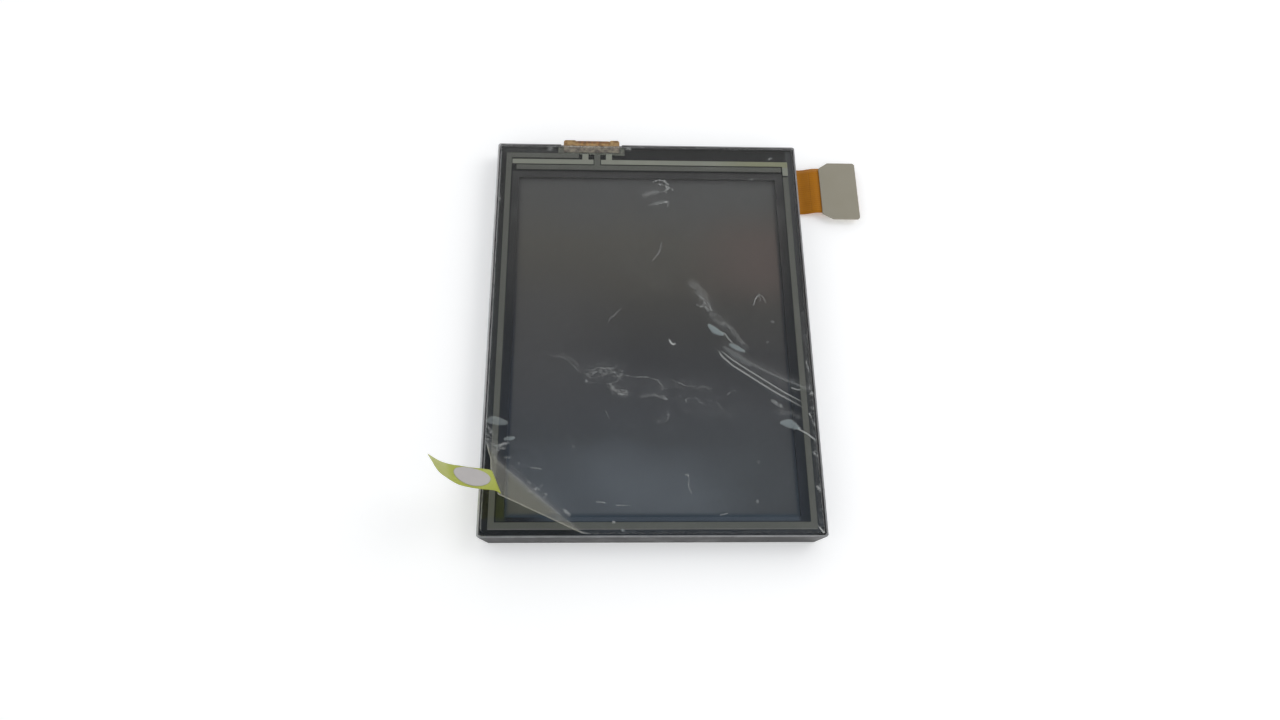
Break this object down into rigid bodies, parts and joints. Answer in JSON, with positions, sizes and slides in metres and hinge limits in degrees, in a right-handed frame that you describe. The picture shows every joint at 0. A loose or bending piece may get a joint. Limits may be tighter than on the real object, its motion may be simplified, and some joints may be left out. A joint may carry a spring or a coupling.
{
  "type": "transflective LCD module with touch panel",
  "caption": "Thin pocket-computer display module: metal tray, layered LCD and touch panel, peeling protective film with pull tab, and a folding flex tail with a board connector.",
  "frame": {"origin": "centre of the rear shield's flat rear face", "axes": "+X to the right of the screen, +Y to its top edge (the edge of the touch flex), +Z out of the screen"},
  "size_m": [0.0857, 0.0862, 0.0187],
  "materials": {
    "steel": "thin stamped sheet with a dull plated surface and bright worn edges",
    "mould": "white moulded polycarbonate",
    "reflector": "silvered reflector sheet",
    "light_guide": "clear acrylic light guide",
    "diffuser": "frosted diffuser sheet",
    "prism": "clear sheet with fine parallel prisms",
    "polarizer": "neutral grey polarizer film",
    "cell_glass": "thin cell glass",
    "gasket": "black foam gasket",
    "touch_glass": "soda-lime glass of the touch panel",
    "dim_silver": "printed silver ink seen through glass",
    "bright_silver": "printed silver ink just under the film",
    "spacer": "clear adhesive spacer tape",
    "touch_film": "clear conductive polyester film",
    "bond_film": "cloudy bonding film",
    "touch_flex": "tan polyimide flex",
    "flex": "amber polyimide flex with copper tracks",
    "cover_film": "clear protective film with scratches and bubbles",
    "tab": "yellow-green adhesive tape",
    "sticker": "round white paper label with no marks",
    "stiffener": "grey-white glass-epoxy stiffener",
    "connector": "ivory liquid-crystal-polymer housing",
    "contact": "gold-flashed contacts",
    "chip": "bare silicon driver die",
    "light": "white side-view light-emitting diode",
    "tape": "black insulating tape"
  },
  "bodies": {
    "module": {"rear_shield": "steel", "mould_frame": "mould", "reflector_sheet": "reflector", "light_guide": "light_guide", "lower_diffuser": "diffuser", "prism_sheet": "prism", "upper_diffuser": "diffuser", "rear_polarizer": "polarizer", "tft_glass": "cell_glass", "colour_filter_glass": "cell_glass", "front_polarizer": "polarizer", "driver_chip": "chip", "gasket_frame": "gasket", "touch_glass": "touch_glass", "outer_glass_trace": "dim_silver", "inner_glass_trace": "dim_silver", "spacer_frame": "spacer", "film_trace_left": "bright_silver", "film_trace_right": "bright_silver", "touch_film": "touch_film", "touch_flex": "touch_flex", "flex_bond_film": "bond_film", "protective_film": "cover_film", "main_flex": "flex", "light_strip_flex": "flex", "light_1": "light", "light_2": "light", "light_3": "light", "light_4": "light", "light_5": "light", "light_6": "light", "rear_tape": "tape"},
    "film_corner": {"film_corner_flap": "cover_film", "pull_tab_root": "tab"},
    "tab": {"pull_tab": "tab", "round_sticker": "sticker"},
    "flex_tail": {"flex_ribbon": "flex"},
    "connector_head": {"head_flex": "flex", "flex_stiffener": "stiffener", "connector_housing": "connector", "contact_row_inner": "contact", "contact_row_outer": "contact"}
  },
  "joints": [
    {"name": "film_peel", "type": "hinge", "parent": "module", "child": "film_corner", "pos_m": [-0.0314, -0.0261, 0.00497], "axis": [-0.7639, 0.6454, 0], "range_deg": [-55, 86]},
    {"name": "tab_bend", "type": "hinge", "parent": "film_corner", "child": "tab", "pos_m": [-0.02744, -0.03722, 0.01548], "axis": [0.254, -0.6994, 0.6681], "range_deg": [-45, 10]},
    {"name": "tail_fold", "type": "hinge", "parent": "module", "child": "flex_tail", "pos_m": [0.0333, 0.034, -0.0001], "axis": [0, 1, 0], "range_deg": [-45, 178]},
    {"name": "head_bend", "type": "hinge", "parent": "flex_tail", "child": "connector_head", "pos_m": [0.03755, 0.034, 0.0012], "axis": [0, 1, 0], "range_deg": [-80, 0]}
  ]
}
